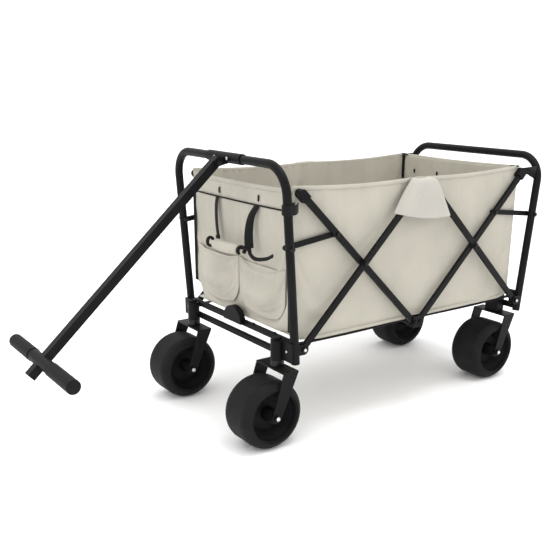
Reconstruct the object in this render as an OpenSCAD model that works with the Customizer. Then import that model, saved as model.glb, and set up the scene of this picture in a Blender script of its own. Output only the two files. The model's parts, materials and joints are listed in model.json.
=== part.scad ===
// Folding beach cart. Two U-shaped end frames are joined on each side by a double scissor,
// carry four wide balloon wheels and a T pull handle, and hold a fabric body between them.
// Millimetres, +Z up, the handle end faces -Y, the origin is on the ground under the
// middle of the outline. The cart is drawn fully open.

/* [End frames] */
// Distance between the left and right leg centre lines
frame_w = 520; // [500:5:540]
// Distance between the front and rear feet at pivot height
frame_gap = 846; // [830:2:860]
// Height of the scissors' lower pivots above the ground
pivot_z = 253; // [250:1:258]
// Height of the front frame's top bar
front_h = 705; // [690:5:725]
// Height of the rear frame's top bar
rear_h = 678; // [675:1:700]
// Outward lean of the front frame, in degrees
front_lean = 4; // [2:0.5:5]
// Outward lean of the rear frame, in degrees
rear_lean = 6; // [3:0.5:7]
// Outside diameter of the frame tube
tube_d = 22; // [20:1:22]
// Wall of the frame tube
tube_wall = 1.5; // [1:0.25:3]
// Radius of the frame's top bends, at the tube's centre line
bend_r = 70; // [60:5:85]
// Diameter of the crossbars
crossbar_d = 18; // [16:1:18]

/* [Scissors] */
// Height of the upper pivots above the lower ones
scissor_rise = 384; // [380:2:396]
// Width of a scissor link
link_w = 16; // [14:1:19]
// Thickness of a scissor link
link_t = 9; // [7:0.5:9]
// Height of the short link's pivot on the leg, above the lower pivots
brace_leg = 258; // [250:1:264]
// Distance of the short link's pivot from the scissor link's top end
brace_link = 154; // [145:1:160]

/* [Wheels] */
// Diameter of a tyre
wheel_d = 180; // [170:2:184]
// Width of a tyre
wheel_w = 112; // [100:2:114]
// Shoulder radius of a tyre
shoulder_r = 27; // [20:1:30]
// Distance of the front swivel axes from the middle plane
front_wheel_x = 212; // [208:1:214]
// Distance of the rear forks' centres from the middle plane
rear_wheel_x = 190; // [185:1:196]
// Distance of an axle ahead of its fork's centre
trail = 43; // [35:1:48]

/* [Handle] */
// Length from the handle's pivot to the middle of its grip
handle_len = 654; // [600:2:680]
// Angle of the handle below the horizontal, in degrees
handle_drop = 42; // [30:1:50]
// Side of the square handle tube
handle_sq = 22; // [20:1:22]
// Length of the T grip
grip_len = 390; // [300:5:400]
// Diameter of the T grip's sleeves
grip_d = 35; // [30:1:36]

/* [Fabric body] */
// Height of the side panels' corners
bag_top = 648; // [640:1:655]
// Height of the front panel's top edge
front_top = 640; // [600:5:645]
// Thickness of a fabric panel
fabric_t = 3; // [2:0.5:3]
// Depth of the two front pockets
pocket_depth = 34; // [20:1:40]

/* [Hidden] */
$fn = 48;

steel = "#313133";
plastic = "#232325";
rubber = "#2c2c2e";
zinc = "#b9bbbd";
canvas = "#d0cfc4";

// End frames
leg_x = frame_w / 2;
leg_foot = -31;
front_top_local = (front_h - pivot_z) / cos(front_lean);
rear_top_local = (rear_h - pivot_z) / cos(rear_lean);
upper_bar_z = 15;
lower_bar_z = -23;
// Outermost points of the handle and of the rear frame, measured from the front feet
handle_pivot_y = -tan(front_lean) * (front_h - pivot_z) - 30;
handle_pivot_z = front_h - 9;
handle_stub = 42;
end_cap_t = 3;
reach_front = handle_pivot_y - (handle_len + handle_stub + end_cap_t) * cos(handle_drop)
    - handle_sq / 2 * sin(handle_drop);
reach_rear = frame_gap + tan(rear_lean) * (rear_h - pivot_z) + tube_d / 2;
front_y = -(reach_front + reach_rear) / 2;
rear_y = front_y + frame_gap;
mid_y = (front_y + rear_y) / 2;

// Scissors
foot_offset = 22;
hub_half = 10;
span = frame_gap / 2 - foot_offset - hub_half;
link_len = norm([span, scissor_rise]);
link_angle = atan2(span, scissor_rise);
gap = 1;
falling_x = leg_x - 8;
rising_x = falling_x + link_t + gap;
brace_x = leg_x - 16;
brace_t = 5;
brace_w = 14;
pin_r = 4;
brace_pin_r = 3;
running = 0.05;
foot_y = front_y + foot_offset;
top_z = pivot_z + scissor_rise;
plate_t = 3;

// Wheels
axle_z = wheel_d / 2;
axle_r = 5;
stem_r = 8;
stem_y = front_y - 20;
rear_fork_y = rear_y - 20;
plate_z = 200;
fork_t = 4;
fork_half = wheel_w / 2 + 2;
fork_depth = 44;
rim_r = 70;

// Fabric body
bag_bottom = 281;
side_bottom = 264;
strap_t = 2.4;
strap_z = side_bottom - 8;
centre_tube_z = strap_z - 1 - crossbar_d / 2;
bag_x = leg_x - 22;
panel_x = bag_x - fabric_t - 0.5;
bag_front_y = front_y + 6;
bag_rear_y = rear_y - 26;

// ---------- helpers ----------

// A cylinder along X from x1 to x2, at height z and depth y
module rod_x(r, x1, x2, y = 0, z = 0) {
    translate([x1, y, z])
        rotate([0, 90, 0])
            cylinder(r = r, h = x2 - x1);
}

// A flat shape drawn in Y-Z and thickened along X from x1 to x2
module plate_x(x1, x2) {
    translate([x1, 0, 0])
        rotate([90, 0, 90])
            linear_extrude(x2 - x1)
                children();
}

module on_side(s) {
    if (s > 0) children();
    else mirror([1, 0, 0]) children();
}

module both_sides() {
    for (s = [-1, 1]) on_side(s) children();
}

// The rear half of the cart repeats the front half across the middle plane
module at_rear() {
    translate([0, 2 * mid_y, 0])
        mirror([0, 1, 0])
            children();
}

// Local frame of an end frame: its feet's middle, Z up along the leaning legs
module leaned(lean) {
    translate([0, front_y, pivot_z])
        rotate([lean, 0, 0])
            children();
}

// ---------- end frames ----------

module u_path(d, foot, top) {
    both_sides() {
        translate([leg_x, 0, foot])
            cylinder(d = d, h = top - bend_r - foot);
        translate([leg_x - bend_r, 0, top - bend_r])
            rotate([90, 0, 0])
                rotate_extrude(angle = 90)
                    translate([bend_r, 0]) circle(d = d);
    }
    rod_x(d / 2, bend_r - leg_x, leg_x - bend_r, 0, top);
}

module u_frame(lean, top) {
    color(steel)
        leaned(lean)
            difference() {
                u_path(tube_d, leg_foot, top);
                u_path(tube_d - 2 * tube_wall, leg_foot - 1, top);
                both_sides() rod_x(brace_pin_r + 0.1, leg_x - tube_d, leg_x + tube_d, 0, brace_leg);
            }
}

// The space that the two legs take up, for parts that are shaped to fit them
module leg_space(lean) {
    leaned(lean)
        both_sides()
            translate([leg_x, 0, leg_foot - 40])
                cylinder(d = tube_d, h = 200);
}

module crossbars(lean) {
    color(steel)
        difference() {
            leaned(lean)
                for (z = [upper_bar_z, lower_bar_z])
                    rod_x(crossbar_d / 2, 8 - leg_x, leg_x - 8, 0, z);
            leg_space(lean);
        }
}

// U-shaped bracket behind each leg that carries the scissor's lower pivot
module foot_brackets(lean) {
    inner = rising_x - link_t / 2 - gap;
    outer = rising_x + link_t / 2 + gap;
    ear_r = 13;
    color(steel)
        difference() {
            both_sides()
                translate([0, front_y, pivot_z]) {
                    for (x = [inner - plate_t, outer])
                        plate_x(x, x + plate_t) {
                            translate([0, -ear_r]) square([foot_offset, 2 * ear_r]);
                            translate([foot_offset, 0]) circle(r = ear_r);
                        }
                    translate([inner - plate_t, tube_d / 2 - 3, -ear_r])
                        cube([outer - inner + 2 * plate_t, 4.5, 2 * ear_r]);
                }
            leg_space(lean);
            both_sides() rod_x(pin_r + 0.02, 0, frame_w, foot_y, pivot_z);
        }
}

module foot_plugs(lean) {
    color(plastic)
        leaned(lean)
            both_sides()
                translate([leg_x, 0, leg_foot]) {
                    translate([0, 0, -5]) cylinder(d = tube_d, h = 5);
                    cylinder(d = tube_d - 2 * tube_wall - 0.1, h = 18);
                }
}

// Bolts at the lower scissor pivots and at the short links' pivots
module pivot_pins(lean) {
    brace_in = brace_x - brace_t / 2;
    head_t = 2.4;
    outer = rising_x + link_t / 2 + gap + plate_t;
    color(zinc) {
        both_sides() {
            rod_x(pin_r, outer - 2 * plate_t - link_t - 2 * gap, outer, foot_y, pivot_z);
            rod_x(7, outer, outer + 4, foot_y, pivot_z);
        }
        leaned(lean)
            both_sides() {
                rod_x(brace_pin_r, brace_in - head_t, leg_x + tube_d / 2, 0, brace_leg);
                rod_x(6.5, brace_in - head_t, brace_in - running, 0, brace_leg);
                rod_x(6, leg_x + tube_d / 2, leg_x + tube_d / 2 + 4, 0, brace_leg);
            }
    }
}

// ---------- casters, forks and wheels ----------

// Arm profile in Y-Z, from the fork's plate down to the axle ahead of it
module fork_arm() {
    boss_r = 14;
    slant = atan2(trail, plate_z - axle_z);
    across = [cos(slant), -sin(slant)] * boss_r;
    axle = [-trail, axle_z];
    polygon([[fork_depth / 2, plate_z], [-fork_depth / 2, plate_z], axle - across, axle + across]);
    translate(axle) circle(r = boss_r);
}

// An inverted U of sheet steel around the wheel, with its centre at the origin of X and Y
module fork() {
    difference() {
        union() {
            for (x = [-fork_half - fork_t, fork_half]) plate_x(x, x + fork_t) fork_arm();
            translate([-fork_half - fork_t, -fork_depth / 2, plate_z])
                cube([2 * (fork_half + fork_t), fork_depth, fork_t]);
        }
        rod_x(axle_r + 0.02, -wheel_w, wheel_w, -trail, axle_z);
    }
}

// Vertical sleeve for the swivel stem, joined to the leg by a plate behind and one in front
module caster_brackets() {
    sleeve_r = 17;
    plate_w = leg_x + 8 - front_wheel_x;
    sleeve_low = 221;
    sleeve_high = 273;
    color(steel)
        difference() {
            both_sides() {
                translate([front_wheel_x, stem_y, sleeve_low])
                    cylinder(r = sleeve_r, h = sleeve_high - sleeve_low);
                translate([front_wheel_x, front_y - 13, sleeve_low])
                    cube([leg_x - front_wheel_x, 5, sleeve_high - sleeve_low - 4]);
                translate([front_wheel_x, front_y - 17, sleeve_low + 5])
                    cube([plate_w, 6, sleeve_high - sleeve_low - 5]);
            }
            both_sides()
                translate([front_wheel_x, stem_y, sleeve_low - 1])
                    cylinder(r = stem_r, h = 100);
            leg_space(front_lean);
            leaned(front_lean)
                for (z = [upper_bar_z, lower_bar_z])
                    rod_x(crossbar_d / 2, -leg_x, leg_x, 0, z);
        }
}

module caster_bearings() {
    low = plate_z + fork_t + 0.4;
    color(zinc)
        both_sides()
            translate([front_wheel_x, stem_y, low])
                difference() {
                    cylinder(r = 18, h = 221 - low);
                    translate([0, 0, -1]) cylinder(r = stem_r, h = 40);
                }
}

module caster_fork(s) {
    stem_high = 278;
    color(steel)
        on_side(s)
            translate([front_wheel_x, stem_y, 0]) {
                fork();
                translate([0, 0, plate_z])
                    cylinder(r = stem_r - running, h = stem_high - plate_z);
                translate([0, 0, 273.6])
                    cylinder(r = 10.5, h = 7, $fn = 6);
            }
}

module axle(x, y) {
    outer = fork_half + fork_t;
    color(zinc)
        translate([x, y - trail, axle_z]) {
            rod_x(axle_r, -outer, outer);
            for (side = [-1, 1])
                rod_x(8, side * (outer + 2.5) - 2.5, side * (outer + 2.5) + 2.5);
        }
}

module tyre(x, y) {
    half = wheel_w / 2;
    tyre_r = wheel_d / 2;
    color(rubber)
        translate([x, y - trail, axle_z])
            rotate([0, 90, 0])
                rotate_extrude($fn = 96)
                    intersection() {
                        union() {
                            translate([0, shoulder_r - half]) square([tyre_r, wheel_w - 2 * shoulder_r]);
                            translate([0, -half]) square([tyre_r - shoulder_r, wheel_w]);
                            for (v = [-1, 1])
                                translate([tyre_r - shoulder_r, v * (half - shoulder_r)])
                                    circle(r = shoulder_r);
                        }
                        translate([rim_r, -half]) square([tyre_r, wheel_w]);
                    }
}

// Deeply dished moulded hub: boss, web and rim barrel
module hub(x, y) {
    half = wheel_w / 2;
    profile = [
        [axle_r + running, half - 1], [17, half - 1], [19, 16], [46, 14], [rim_r - 8, half - 16],
        [rim_r - 5, half - 3], [rim_r, half - 3]
    ];
    mirrored = [for (i = [len(profile) - 1:-1:0]) [profile[i][0], -profile[i][1]]];
    color(plastic)
        translate([x, y - trail, axle_z])
            rotate([0, 90, 0])
                rotate_extrude($fn = 96)
                    polygon(concat(profile, mirrored));
}

// The rear forks are fixed: a block joins each plate to the two crossbars
module rear_forks() {
    block = [48, 28, 66];
    color(steel)
        difference() {
            at_rear()
                both_sides() {
                    translate([rear_wheel_x, front_y + 20, 0])
                        mirror([0, 1, 0]) fork();
                    translate([rear_wheel_x - block[0] / 2, front_y + 6, plate_z + fork_t])
                        cube(block);
                }
            at_rear()
                leaned(rear_lean)
                    for (z = [upper_bar_z, lower_bar_z])
                        rod_x(crossbar_d / 2, -leg_x, leg_x, 0, z);
        }
}

// ---------- scissor links ----------

// A flat bar along +Z with round ends and a bore at its foot
module link_bar(x, length, r, t, bores) {
    difference() {
        plate_x(x - t / 2, x + t / 2) {
            translate([-r, 0]) square([2 * r, length]);
            circle(r = r);
            translate([0, length]) circle(r = r);
        }
        for (bore = bores) rod_x(bore[1], 0, frame_w, 0, bore[0]);
    }
}

module at_falling() {
    translate([0, mid_y - hub_half, pivot_z])
        rotate([link_angle, 0, 0])
            children();
}

// Rises from the foot bracket to the top hub and carries the rivet of the crossing
module rising_link(s) {
    middle = link_len / 2;
    inner = falling_x - link_t / 2;
    outer = rising_x + link_t / 2;
    bore = pin_r + running;
    on_side(s)
        translate([0, foot_y, pivot_z])
            rotate([-link_angle, 0, 0]) {
                color(steel)
                    link_bar(rising_x, link_len, link_w / 2, link_t, [[0, bore], [link_len, bore]]);
                color(zinc) {
                    rod_x(pin_r, inner - 2, outer, 0, middle);
                    rod_x(7, inner - 2, inner - running, 0, middle);
                    rod_x(7, outer, outer + 3.5, 0, middle);
                }
            }
}

// Falls from the corner cap to the bottom hub and carries the short link's rivet
module falling_link(s) {
    bore = pin_r + running;
    outer = falling_x + link_t / 2;
    on_side(s)
        at_falling() {
            color(steel)
                link_bar(falling_x, link_len, link_w / 2, link_t, [[0, bore], [link_len / 2, bore]]);
            color(zinc)
                rod_x(6, outer, outer + 2.5, 0, link_len - brace_link);
        }
}

// Plastic cap on the falling link's top end, with a lug that holds the bag's corner
module corner_cap(s) {
    cap_r = 11;
    inner = bag_x + 1;
    outer = falling_x + link_t / 2 + 3;
    color(plastic)
        on_side(s)
            at_falling()
                difference() {
                    plate_x(inner, outer) {
                        translate([-cap_r, link_len - 2 * cap_r]) square(2 * cap_r);
                        translate([0, link_len]) circle(r = cap_r);
                    }
                    link_bar(falling_x, link_len, link_w / 2, link_t, []);
                }
}

// Short link between the leg and the falling link; its scissor end is left unpinned
module brace(s, lean) {
    leg_end = [front_y - brace_leg * sin(lean), pivot_z + brace_leg * cos(lean)];
    link_end = [foot_y, top_z] + brace_link * [sin(link_angle), -cos(link_angle)];
    reach = link_end - leg_end;
    color(steel)
        on_side(s)
            translate([0, leg_end[0], leg_end[1]])
                rotate([atan2(reach[1], reach[0]) - 90, 0, 0])
                    link_bar(brace_x, norm(reach), brace_w / 2, brace_t,
                             [[0, brace_pin_r + running]]);
}

// Two plates and two pins that join the front and rear links at mid length
module hub_plates(x, low, high) {
    inner = x - link_t / 2 - gap;
    outer = x + link_t / 2 + gap;
    half = 18;
    for (wall = [inner - plate_t, outer])
        plate_x(wall, wall + plate_t)
            translate([-half, low]) square([2 * half, high - low]);
    for (y = [-hub_half, hub_half]) {
        rod_x(pin_r, inner - 1, outer + 1, y, 0);
        rod_x(6.5, outer + plate_t - 1, outer + plate_t + 3, y, 0);
    }
}

module top_hub(s) {
    color(steel)
        on_side(s)
            translate([0, mid_y, top_z])
                hub_plates(rising_x, -14, 8);
}

module bottom_hubs() {
    color(steel)
        both_sides()
            translate([0, mid_y, pivot_z])
                hub_plates(falling_x, -16, 16);
}

module centre_tube() {
    reach = falling_x - link_t / 2 - gap - plate_t;
    color(steel)
        difference() {
            rod_x(crossbar_d / 2, -reach, reach, mid_y, centre_tube_z);
            rod_x(crossbar_d / 2 - tube_wall, -frame_w, frame_w, mid_y, centre_tube_z);
        }
}

// ---------- pull handle ----------

module at_handle_pivot() {
    translate([0, front_y + handle_pivot_y, handle_pivot_z])
        children();
}

// The handle's own frame: the tube runs along -Y from the pivot
module at_handle() {
    at_handle_pivot() rotate([handle_drop, 0, 0]) children();
}

grip_core_r = 10;
grip_collar = 62;
cheek_in = handle_sq / 2 + 0.8;
cheek_out = cheek_in + 4;
collar_r = 13.6;
collar_half = 80;
// The top bar's centre as seen from the handle's pivot, in Y and Z
bar = [30, 9];

// Collar around the top bar with two cheeks that hold the handle
module handle_clamp() {
    cheek_r = 11;
    color(plastic)
        at_handle_pivot()
            difference() {
                union() {
                    rod_x(collar_r, -collar_half, collar_half, bar[0], bar[1]);
                    for (x = [-cheek_out, cheek_in])
                        plate_x(x, x + cheek_out - cheek_in) {
                            circle(r = cheek_r);
                            polygon([[0, -cheek_r], [bar[0], bar[1] - collar_r], bar, [0, cheek_r]]);
                        }
                }
                rod_x(tube_d / 2 + running, -frame_w, frame_w, bar[0], bar[1]);
                rod_x(pin_r + 0.02, -frame_w, frame_w);
            }
}

// The pivot bolt and the two screws that close the collar
module handle_bolts() {
    screw_x = 30;
    color(zinc)
        at_handle_pivot() {
            rod_x(pin_r, -cheek_out, cheek_out);
            for (side = [-1, 1]) {
                rod_x(8, side * (cheek_out + 2) - 2, side * (cheek_out + 2) + 2);
                difference() {
                    translate([side * screw_x, bar[0] - collar_r + 2, bar[1]])
                        rotate([90, 0, 0]) cylinder(r = 4.5, h = 5);
                    rod_x(collar_r, -collar_half, collar_half, bar[0], bar[1]);
                }
            }
        }
}

module handle_tube() {
    back = 9;
    wall = 1.5;
    length = handle_len + handle_stub;
    color(steel)
        at_handle()
            difference() {
                translate([-handle_sq / 2, -length, -handle_sq / 2])
                    cube([handle_sq, length + back, handle_sq]);
                translate([wall - handle_sq / 2, -length - 1, wall - handle_sq / 2])
                    cube([handle_sq - 2 * wall, length + back + 2, handle_sq - 2 * wall]);
                rod_x(pin_r + running, -frame_w, frame_w);
                rod_x(grip_core_r, -frame_w, frame_w, -handle_len, 0);
            }
}

// Plastic core of the T, which runs through the handle tube under a moulded collar
module handle_crossbar() {
    color(plastic)
        at_handle() {
            rod_x(grip_core_r - running, 2 - grip_len / 2, grip_len / 2 - 2, -handle_len, 0);
            difference() {
                rod_x(grip_d / 2 - 1.5, -grip_collar, grip_collar, -handle_len, 0);
                translate([-handle_sq / 2, -handle_len - 50, -handle_sq / 2])
                    cube([handle_sq, 100, handle_sq]);
            }
        }
}

module handle_grips() {
    color(rubber)
        at_handle()
            difference() {
                both_sides() rod_x(grip_d / 2, grip_collar, grip_len / 2, -handle_len, 0);
                rod_x(grip_core_r, 2 - grip_len / 2, grip_len / 2 - 2, -handle_len, 0);
            }
}

module handle_end_cap() {
    end = -handle_len - handle_stub;
    plug = handle_sq - 3.2;
    color(plastic)
        at_handle() {
            translate([-handle_sq / 2, end - end_cap_t, -handle_sq / 2])
                cube([handle_sq, end_cap_t, handle_sq]);
            translate([-plug / 2, end - end_cap_t, -plug / 2])
                cube([plug, 16, plug]);
        }
}

// Half-round clip on the upper crossbar
module handle_clip() {
    clip_r = 43;
    color(plastic)
        difference() {
            translate([0, front_y - 4, pivot_z + upper_bar_z])
                rotate([90, 0, 0])
                    cylinder(r = clip_r, h = 17);
            translate([-clip_r - 1, front_y - 60, pivot_z + upper_bar_z - clip_r - 1])
                cube([2 * clip_r + 2, 80, clip_r]);
            leaned(front_lean) rod_x(crossbar_d / 2, -leg_x, leg_x, 0, upper_bar_z);
        }
}

// ---------- fabric body ----------

module end_panel(y, top) {
    color(canvas)
        translate([-panel_x, y, bag_bottom])
            cube([2 * panel_x, fabric_t, top - bag_bottom]);
}

module front_panel() {
    end_panel(bag_front_y, front_top);
}

module rear_panel() {
    end_panel(bag_rear_y - fabric_t, bag_top);
}

// Two full pockets, each a shallow bow across its width
module front_pockets() {
    width = 190;
    low = 322;
    high = 437;
    bow_r = (pow(width / 2, 2) + pow(pocket_depth, 2)) / (2 * pocket_depth);
    color(canvas)
        for (x = [-width / 2 - 6, width / 2 + 6])
            translate([x, bag_front_y - 0.2, low])
                linear_extrude(high - low)
                    intersection() {
                        translate([0, bow_r - pocket_depth]) circle(r = bow_r, $fn = 96);
                        translate([-width / 2, -pocket_depth - 1]) square([width, pocket_depth + 1]);
                    }
}

// Side panels hang between the corner caps and dip a little at the top hubs. Their front edge
// stands behind the upper crossbar.
module bag_sides() {
    dip = 8;
    edge_y = bag_front_y + 3.5;
    color(canvas)
        both_sides()
            plate_x(bag_x - fabric_t, bag_x)
                polygon([
                    [edge_y, side_bottom], [bag_rear_y, side_bottom], [bag_rear_y, bag_top],
                    [mid_y, bag_top - dip], [edge_y, bag_top]
                ]);
}

module bag_floor() {
    inset = fabric_t + 0.5;
    color(canvas)
        translate([-panel_x, bag_front_y + inset, bag_bottom])
            cube([2 * panel_x, bag_rear_y - bag_front_y - 2 * inset, fabric_t]);
}

// Webbing under the bag's side seams, over the centre tube and between each pair of crossbars
module base_straps() {
    strap_w = 17;
    color(plastic)
        both_sides()
            translate([leg_x - 19 - strap_w, front_y - 2, strap_z])
                cube([strap_w, frame_gap + 4, strap_t]);
}

// ---------- nodes ----------

u_frame(front_lean, front_top_local);  // front_frame
crossbars(front_lean);  // front_crossbars
foot_brackets(front_lean);  // front_foot_brackets
foot_plugs(front_lean);  // front_foot_plugs
pivot_pins(front_lean);  // front_pins
caster_brackets();
caster_bearings();
handle_clamp();
handle_bolts();
handle_clip();
front_panel();
front_pockets();
handle_tube();
handle_crossbar();
handle_grips();
handle_end_cap();
caster_fork(-1);  // caster_fork_left
caster_fork(1);  // caster_fork_right
axle(-front_wheel_x, stem_y);  // caster_axle_left
axle(front_wheel_x, stem_y);  // caster_axle_right
tyre(-front_wheel_x, stem_y);  // tyre_front_left
tyre(front_wheel_x, stem_y);  // tyre_front_right
tyre(-rear_wheel_x, rear_fork_y);  // tyre_rear_left
tyre(rear_wheel_x, rear_fork_y);  // tyre_rear_right
hub(-front_wheel_x, stem_y);  // hub_front_left
hub(front_wheel_x, stem_y);  // hub_front_right
hub(-rear_wheel_x, rear_fork_y);  // hub_rear_left
hub(rear_wheel_x, rear_fork_y);  // hub_rear_right
at_rear() u_frame(rear_lean, rear_top_local);  // rear_frame
at_rear() crossbars(rear_lean);  // rear_crossbars
at_rear() foot_brackets(rear_lean);  // rear_foot_brackets
at_rear() foot_plugs(rear_lean);  // rear_foot_plugs
at_rear() pivot_pins(rear_lean);  // rear_pins
rear_forks();
both_sides() axle(rear_wheel_x, rear_fork_y);  // rear_axles
rear_panel();
rising_link(-1);  // rising_link_front_left
rising_link(1);  // rising_link_front_right
at_rear() rising_link(-1);  // rising_link_rear_left
at_rear() rising_link(1);  // rising_link_rear_right
falling_link(-1);  // falling_link_front_left
falling_link(1);  // falling_link_front_right
at_rear() falling_link(-1);  // falling_link_rear_left
at_rear() falling_link(1);  // falling_link_rear_right
corner_cap(-1);  // corner_cap_front_left
corner_cap(1);  // corner_cap_front_right
at_rear() corner_cap(-1);  // corner_cap_rear_left
at_rear() corner_cap(1);  // corner_cap_rear_right
brace(-1, front_lean);  // brace_front_left
brace(1, front_lean);  // brace_front_right
at_rear() brace(-1, rear_lean);  // brace_rear_left
at_rear() brace(1, rear_lean);  // brace_rear_right
top_hub(-1);  // top_hub_left
top_hub(1);  // top_hub_right
bottom_hubs();
centre_tube();
bag_sides();
bag_floor();
base_straps();
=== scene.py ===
"""Looks of the folding beach cart: painted steel, moulded wheels, canvas body, webbing and light."""
import json
import math
import bmesh
import bpy
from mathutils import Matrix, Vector, noise


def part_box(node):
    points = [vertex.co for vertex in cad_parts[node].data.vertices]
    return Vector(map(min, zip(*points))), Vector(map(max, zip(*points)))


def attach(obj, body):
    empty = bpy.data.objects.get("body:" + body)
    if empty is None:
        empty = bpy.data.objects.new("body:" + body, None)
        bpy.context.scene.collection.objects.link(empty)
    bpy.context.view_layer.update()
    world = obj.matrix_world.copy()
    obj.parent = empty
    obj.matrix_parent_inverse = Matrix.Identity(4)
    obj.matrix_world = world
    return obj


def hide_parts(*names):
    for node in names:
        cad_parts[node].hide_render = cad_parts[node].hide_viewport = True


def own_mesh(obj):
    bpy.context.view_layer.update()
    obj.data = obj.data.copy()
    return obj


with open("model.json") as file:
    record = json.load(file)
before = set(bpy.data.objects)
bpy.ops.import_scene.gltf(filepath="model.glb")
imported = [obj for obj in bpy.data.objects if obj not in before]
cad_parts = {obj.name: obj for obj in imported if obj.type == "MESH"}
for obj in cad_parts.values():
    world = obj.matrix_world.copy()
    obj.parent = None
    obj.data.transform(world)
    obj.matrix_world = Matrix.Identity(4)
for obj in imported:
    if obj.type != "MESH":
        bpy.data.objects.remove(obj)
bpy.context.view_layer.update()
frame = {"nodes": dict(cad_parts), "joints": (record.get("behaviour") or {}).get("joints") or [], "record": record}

MM = 0.001
UP = Vector((0, 0, 1))
ALONG_X = Vector((1, 0, 0))

# ---------- places taken from the frame ----------

joints = {joint["name"]: joint for joint in frame["joints"]}


def pivot(name):
    return Vector(joints[name]["pos_m"])


FRONT_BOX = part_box("front_panel")
REAR_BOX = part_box("rear_panel")
SIDE_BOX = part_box("bag_sides")

FRONT_Y = FRONT_BOX[0][1]
REAR_Y = REAR_BOX[1][1]
PANEL_X = FRONT_BOX[1][0]
SIDE_X = SIDE_BOX[1][0]
TOP_Z = SIDE_BOX[1][2]
FRONT_TOP_Z = FRONT_BOX[1][2]
PANEL_LOW_Z = FRONT_BOX[0][2]
SIDE_LOW_Z = SIDE_BOX[0][2]
FLOOR_TOP_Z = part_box("bag_floor")[1][2]
FOOT = pivot("fold")
# The scissor pivots stand this far inside the planes of the two end frames
PIVOT_INSET = 22 * MM
FOOT_Y = FOOT.y - PIVOT_INSET
REAR_FOOT_Y = pivot("foot_rear_right").y + PIVOT_INSET
TOP_PIVOT = pivot("top_front_right")
MID_Y = TOP_PIVOT.y + 10 * MM
CROSS_FRONT = pivot("crossing_front_right")
CROSS_REAR = pivot("crossing_rear_right")
LEG_X = FOOT.x - 2 * MM
# A leg's lean away from the cart's middle, in degrees, and the way it leans along Y
LEAN = {"front": 4, "rear": 6}
AWAY = {"front": -1, "rear": 1}

# ---------- materials ----------


def material(name):
    mat = bpy.data.materials.new(name)
    mat.use_nodes = True
    nodes = mat.node_tree.nodes
    return mat, nodes, mat.node_tree.links, nodes["Principled BSDF"]


def add(nodes, kind, **values):
    node = nodes.new(kind)
    for key, value in values.items():
        if key in node.inputs:
            node.inputs[key].default_value = value
        else:
            setattr(node, key, value)
    return node


def coordinates(nodes, links, turn=(0, 0, 0)):
    place = add(nodes, "ShaderNodeTexCoord")
    mapping = add(nodes, "ShaderNodeMapping")
    mapping.inputs["Rotation"].default_value = turn
    links.new(place.outputs["Object"], mapping.inputs["Vector"])
    return mapping.outputs["Vector"]


def noise_map(nodes, links, vector, scale, detail=3.0):
    texture = add(nodes, "ShaderNodeTexNoise", Scale=scale, Detail=detail, Roughness=0.55)
    links.new(vector, texture.inputs["Vector"])
    return texture.outputs["Fac"]


def blend_colours(nodes, links, factor, dark, light):
    ramp = add(nodes, "ShaderNodeValToRGB")
    ramp.color_ramp.elements[0].position = 0.3
    ramp.color_ramp.elements[1].position = 0.7
    ramp.color_ramp.elements[0].color = (*dark, 1)
    ramp.color_ramp.elements[1].color = (*light, 1)
    links.new(factor, ramp.inputs["Fac"])
    return ramp.outputs["Color"]


def bump(nodes, links, shader, height, strength, distance):
    node = add(nodes, "ShaderNodeBump", Strength=strength, Distance=distance)
    links.new(height, node.inputs["Height"])
    links.new(node.outputs["Normal"], shader.inputs["Normal"])
    return node


def joined(nodes, links, operation, a, b):
    node = add(nodes, "ShaderNodeMath", operation=operation)
    for index, value in enumerate((a, b)):
        if isinstance(value, (int, float)):
            node.inputs[index].default_value = value
        else:
            links.new(value, node.inputs[index])
    return node.outputs["Value"]


# Distance between the bands of a wave texture of scale 1, in metres
BAND_SPACING = 0.3142


def threads(nodes, links, vector, axis, pitch):
    """Ridges that repeat every pitch metres along one axis."""
    wave = add(nodes, "ShaderNodeTexWave", Scale=BAND_SPACING / pitch, Distortion=0.0)
    wave.wave_type = "BANDS"
    wave.bands_direction = axis
    links.new(vector, wave.inputs["Vector"])
    return wave.outputs["Fac"]


def canvas_material(name, dark, light, pitch=1.1 * MM):
    """Plain-woven polyester: crossed threads, uneven yarn and slow tone changes."""
    mat, nodes, links, shader = material(name)
    vector = coordinates(nodes, links)
    upright = threads(nodes, links, vector, "Z", pitch)
    along_x = threads(nodes, links, vector, "X", pitch)
    along_y = threads(nodes, links, vector, "Y", pitch)
    across = joined(nodes, links, "MAXIMUM", along_x, along_y)
    weave = joined(nodes, links, "MULTIPLY", upright, across)
    yarn = noise_map(nodes, links, vector, 700.0, 2.0)
    cloudy = noise_map(nodes, links, vector, 9.0, 4.0)
    tone = joined(nodes, links, "ADD", joined(nodes, links, "MULTIPLY", yarn, 0.3),
                  joined(nodes, links, "MULTIPLY", cloudy, 0.7))
    links.new(blend_colours(nodes, links, tone, dark, light), shader.inputs["Base Color"])
    height = joined(nodes, links, "ADD", weave, joined(nodes, links, "MULTIPLY", yarn, 0.6))
    bump(nodes, links, shader, height, 0.12, 0.3 * MM)
    shader.inputs["Roughness"].default_value = 0.88
    shader.inputs["Sheen Weight"].default_value = 0.12
    shader.inputs["Specular IOR Level"].default_value = 0.25
    return mat


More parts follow.
